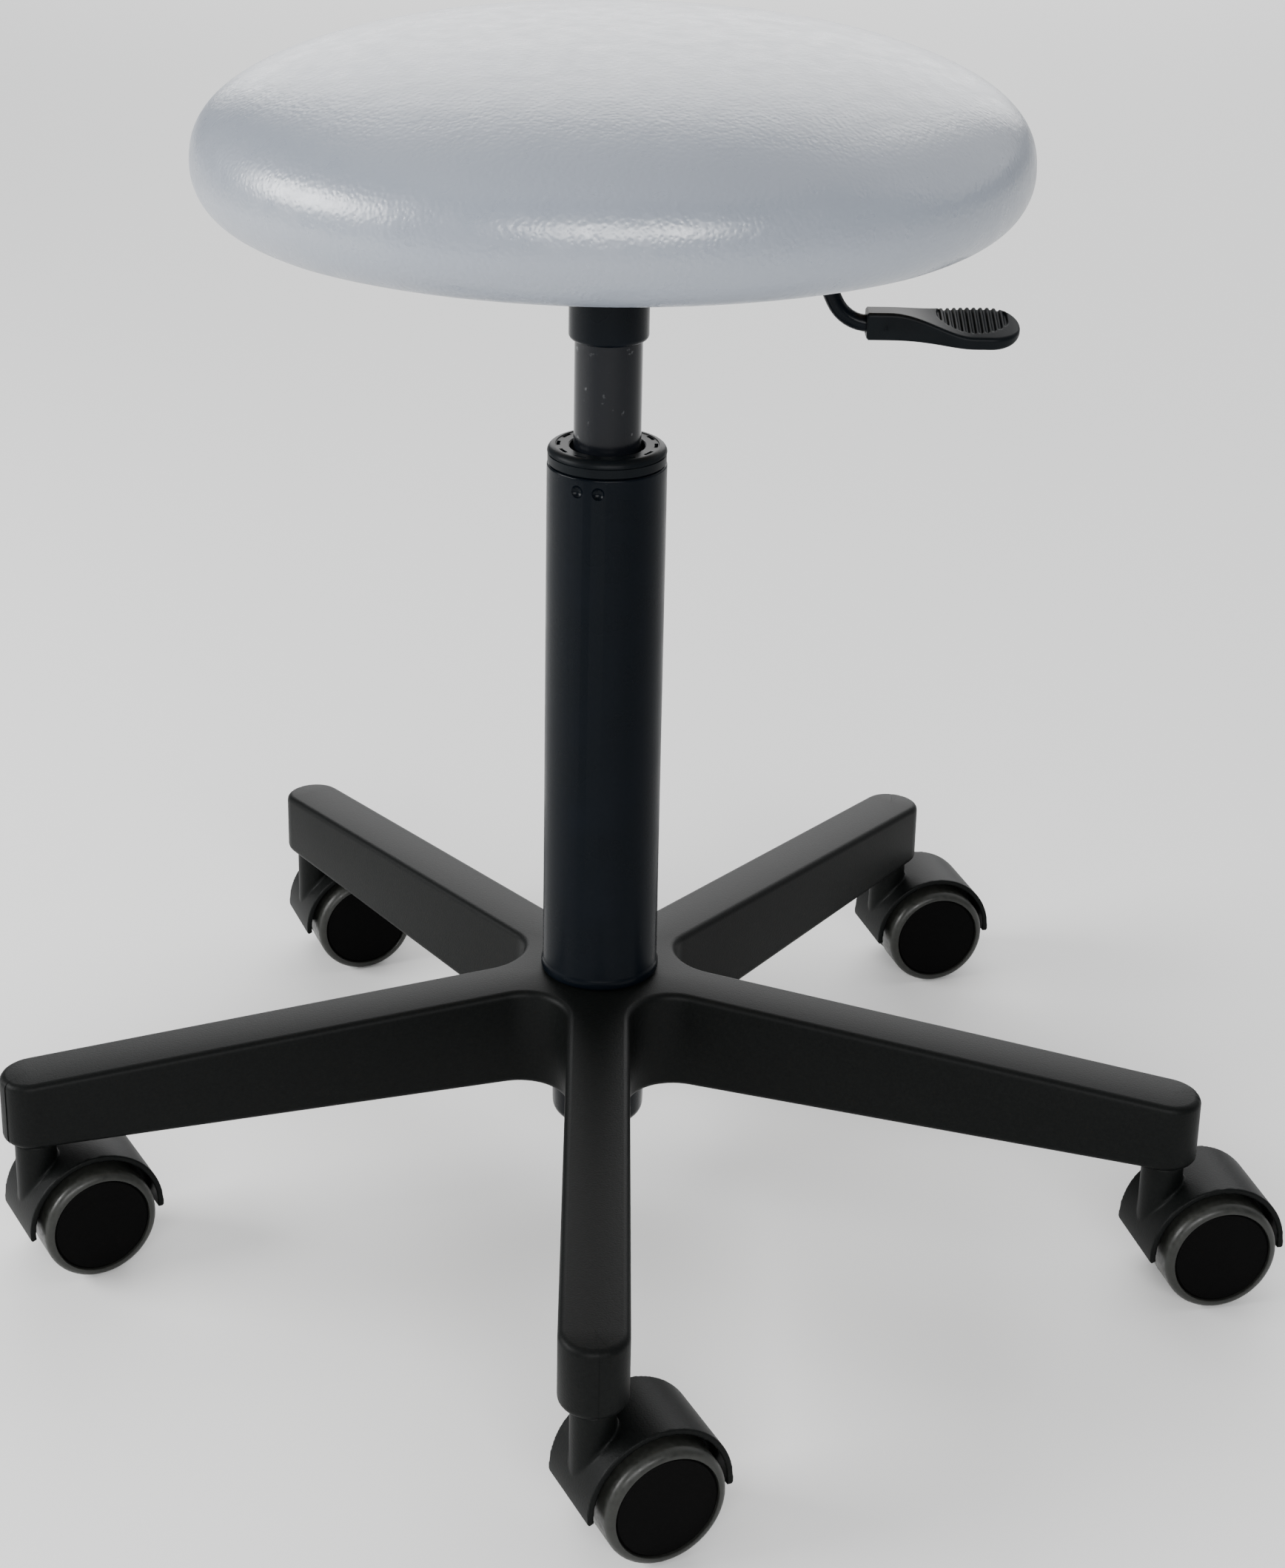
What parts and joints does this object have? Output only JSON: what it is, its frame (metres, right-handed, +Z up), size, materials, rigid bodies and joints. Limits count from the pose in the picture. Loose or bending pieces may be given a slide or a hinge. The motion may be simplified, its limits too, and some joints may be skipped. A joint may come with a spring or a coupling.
{
  "type": "adjustable swivel stool",
  "caption": "Round padded swivel stool on a gas-sprung column with a side release lever, a star base and twin-wheel castors.",
  "frame": {"origin": "middle of the floor rectangle that the stool stands on, at floor level; the column axis stands a little to the left of it and behind it, because the castors trail to the right", "axes": "+X towards the release lever, +Z up, -Y towards the front arm"},
  "size_m": [0.545, 0.5108, 0.5206],
  "materials": {
    "vinyl": "light silver-grey upholstery vinyl, fine grain, satin",
    "foam": "open-cell seat foam",
    "plywood": "bare birch plywood",
    "nylon": "moulded glass-filled nylon, fine matt texture, charcoal",
    "black_paint": "satin black powder coat",
    "black_tube": "semi-gloss blackened steel tube",
    "zinc": "bright zinc plate",
    "black_plastic": "black moulded plastic, low sheen",
    "rubber": "soft black rubber",
    "wheel": "grey polyurethane tread bonded to a matt black nylon wheel"
  },
  "bodies": {
    "base": {"star_base": "nylon", "column_tube": "black_paint", "guide_bush": "black_plastic", "bearing_washer_lower": "zinc", "stem_front": "zinc", "stem_right": "zinc", "stem_back_right": "zinc", "stem_back_left": "zinc", "stem_left": "zinc"},
    "spindle": {"piston_rod": "zinc", "piston": "black_plastic", "thrust_bearing": "zinc", "bearing_washer_upper": "zinc", "rubber_buffer": "rubber", "retaining_clip": "zinc"},
    "seat": {"pressure_tube": "black_tube", "rod_seal": "black_plastic", "valve_body": "zinc", "taper_sleeve": "black_paint", "seat_pan": "black_paint", "lever_bracket": "black_paint", "pivot_pin": "zinc", "seat_board": "plywood", "seat_foam": "foam", "seat_cover": "vinyl", "seat_bolt_1": "zinc", "seat_bolt_2": "zinc", "seat_bolt_3": "zinc", "seat_bolt_4": "zinc", "tee_nut_1": "zinc", "tee_nut_2": "zinc", "tee_nut_3": "zinc", "tee_nut_4": "zinc"},
    "lever": {"lever_rod": "black_tube", "lever_grip": "black_plastic"},
    "button": {"release_button": "zinc"},
    "castor_front": {"housing_front": "nylon", "axle_front": "zinc"},
    "wheel_front_a": {"wheel_front_a": "wheel"},
    "wheel_front_b": {"wheel_front_b": "wheel"},
    "castor_right": {"housing_right": "nylon", "axle_right": "zinc"},
    "wheel_right_a": {"wheel_right_a": "wheel"},
    "wheel_right_b": {"wheel_right_b": "wheel"},
    "castor_back_right": {"housing_back_right": "nylon", "axle_back_right": "zinc"},
    "wheel_back_right_a": {"wheel_back_right_a": "wheel"},
    "wheel_back_right_b": {"wheel_back_right_b": "wheel"},
    "castor_back_left": {"housing_back_left": "nylon", "axle_back_left": "zinc"},
    "wheel_back_left_a": {"wheel_back_left_a": "wheel"},
    "wheel_back_left_b": {"wheel_back_left_b": "wheel"},
    "castor_left": {"housing_left": "nylon", "axle_left": "zinc"},
    "wheel_left_a": {"wheel_left_a": "wheel"},
    "wheel_left_b": {"wheel_left_b": "wheel"}
  },
  "joints": [
    {"name": "seat_swivel", "type": "hinge", "parent": "base", "child": "spindle", "pos_m": [-0.01767, 0.01636, 0.3], "axis": [0, 0, 1], "continuous": true},
    {"name": "height_slide", "type": "slide", "parent": "spindle", "child": "seat", "axis": [0, 0, 1], "range_m": [-0.03, 0.15]},
    {"name": "lever_pull", "type": "hinge", "parent": "seat", "child": "lever", "pos_m": [0.02933, 0.01636, 0.43739], "axis": [0, -1, 0], "range_deg": [0, 4.5], "stiffness_Nm_per_rad": 20, "springref_deg": -2.86},
    {"name": "button_press", "type": "slide", "parent": "seat", "child": "button", "axis": [0, 0, -1], "range_m": [0, 0.004]},
    {"name": "swivel_front", "type": "hinge", "parent": "base", "child": "castor_front", "pos_m": [-0.01767, -0.23364, 0.05], "axis": [0, 0, 1], "continuous": true},
    {"name": "spin_front_a", "type": "hinge", "parent": "castor_front", "child": "wheel_front_a", "pos_m": [0.00039, -0.22503, 0.02469], "axis": [0.4305, -0.9026, 0], "continuous": true},
    {"name": "spin_front_b", "type": "hinge", "parent": "castor_front", "child": "wheel_front_b", "pos_m": [0.00039, -0.22503, 0.02469], "axis": [0.4305, -0.9026, 0], "continuous": true},
    {"name": "swivel_right", "type": "hinge", "parent": "base", "child": "castor_right", "pos_m": [0.2201, -0.0609, 0.05], "axis": [0, 0, 1], "continuous": true},
    {"name": "spin_right_a", "type": "hinge", "parent": "castor_right", "child": "wheel_right_a", "pos_m": [0.23959, -0.05643, 0.02469], "axis": [0.2233, -0.9748, 0], "continuous": true},
    {"name": "spin_right_b", "type": "hinge", "parent": "castor_right", "child": "wheel_right_b", "pos_m": [0.23959, -0.05643, 0.02469], "axis": [0.2233, -0.9748, 0], "continuous": true},
    {"name": "swivel_back_right", "type": "hinge", "parent": "base", "child": "castor_back_right", "pos_m": [0.12928, 0.21861, 0.05], "axis": [0, 0, 1], "continuous": true},
    {"name": "spin_back_right_a", "type": "hinge", "parent": "castor_back_right", "child": "wheel_back_right_a", "pos_m": [0.14851, 0.22412, 0.02469], "axis": [0.2756, -0.9613, 0], "continuous": true},
    {"name": "spin_back_right_b", "type": "hinge", "parent": "castor_back_right", "child": "wheel_back_right_b", "pos_m": [0.14851, 0.22412, 0.02469], "axis": [0.2756, -0.9613, 0], "continuous": true},
    {"name": "swivel_back_left", "type": "hinge", "parent": "base", "child": "castor_back_left", "pos_m": [-0.16461, 0.21861, 0.05], "axis": [0, 0, 1], "continuous": true},
    {"name": "spin_back_left_a", "type": "hinge", "parent": "castor_back_left", "child": "wheel_back_left_a", "pos_m": [-0.14599, 0.22591, 0.02469], "axis": [0.3649, -0.9311, 0], "continuous": true},
    {"name": "spin_back_left_b", "type": "hinge", "parent": "castor_back_left", "child": "wheel_back_left_b", "pos_m": [-0.14599, 0.22591, 0.02469], "axis": [0.3649, -0.9311, 0], "continuous": true},
    {"name": "swivel_left", "type": "hinge", "parent": "base", "child": "castor_left", "pos_m": [-0.25543, -0.0609, 0.05], "axis": [0, 0, 1], "continuous": true},
    {"name": "spin_left_a", "type": "hinge", "parent": "castor_left", "child": "wheel_left_a", "pos_m": [-0.23802, -0.05105, 0.02469], "axis": [0.4924, -0.8704, 0], "continuous": true},
    {"name": "spin_left_b", "type": "hinge", "parent": "castor_left", "child": "wheel_left_b", "pos_m": [-0.23802, -0.05105, 0.02469], "axis": [0.4924, -0.8704, 0], "continuous": true}
  ],
  "couplings": [
    {"joint": "button_press", "follows": "lever_pull", "m_per_rad": 0.049}
  ]
}
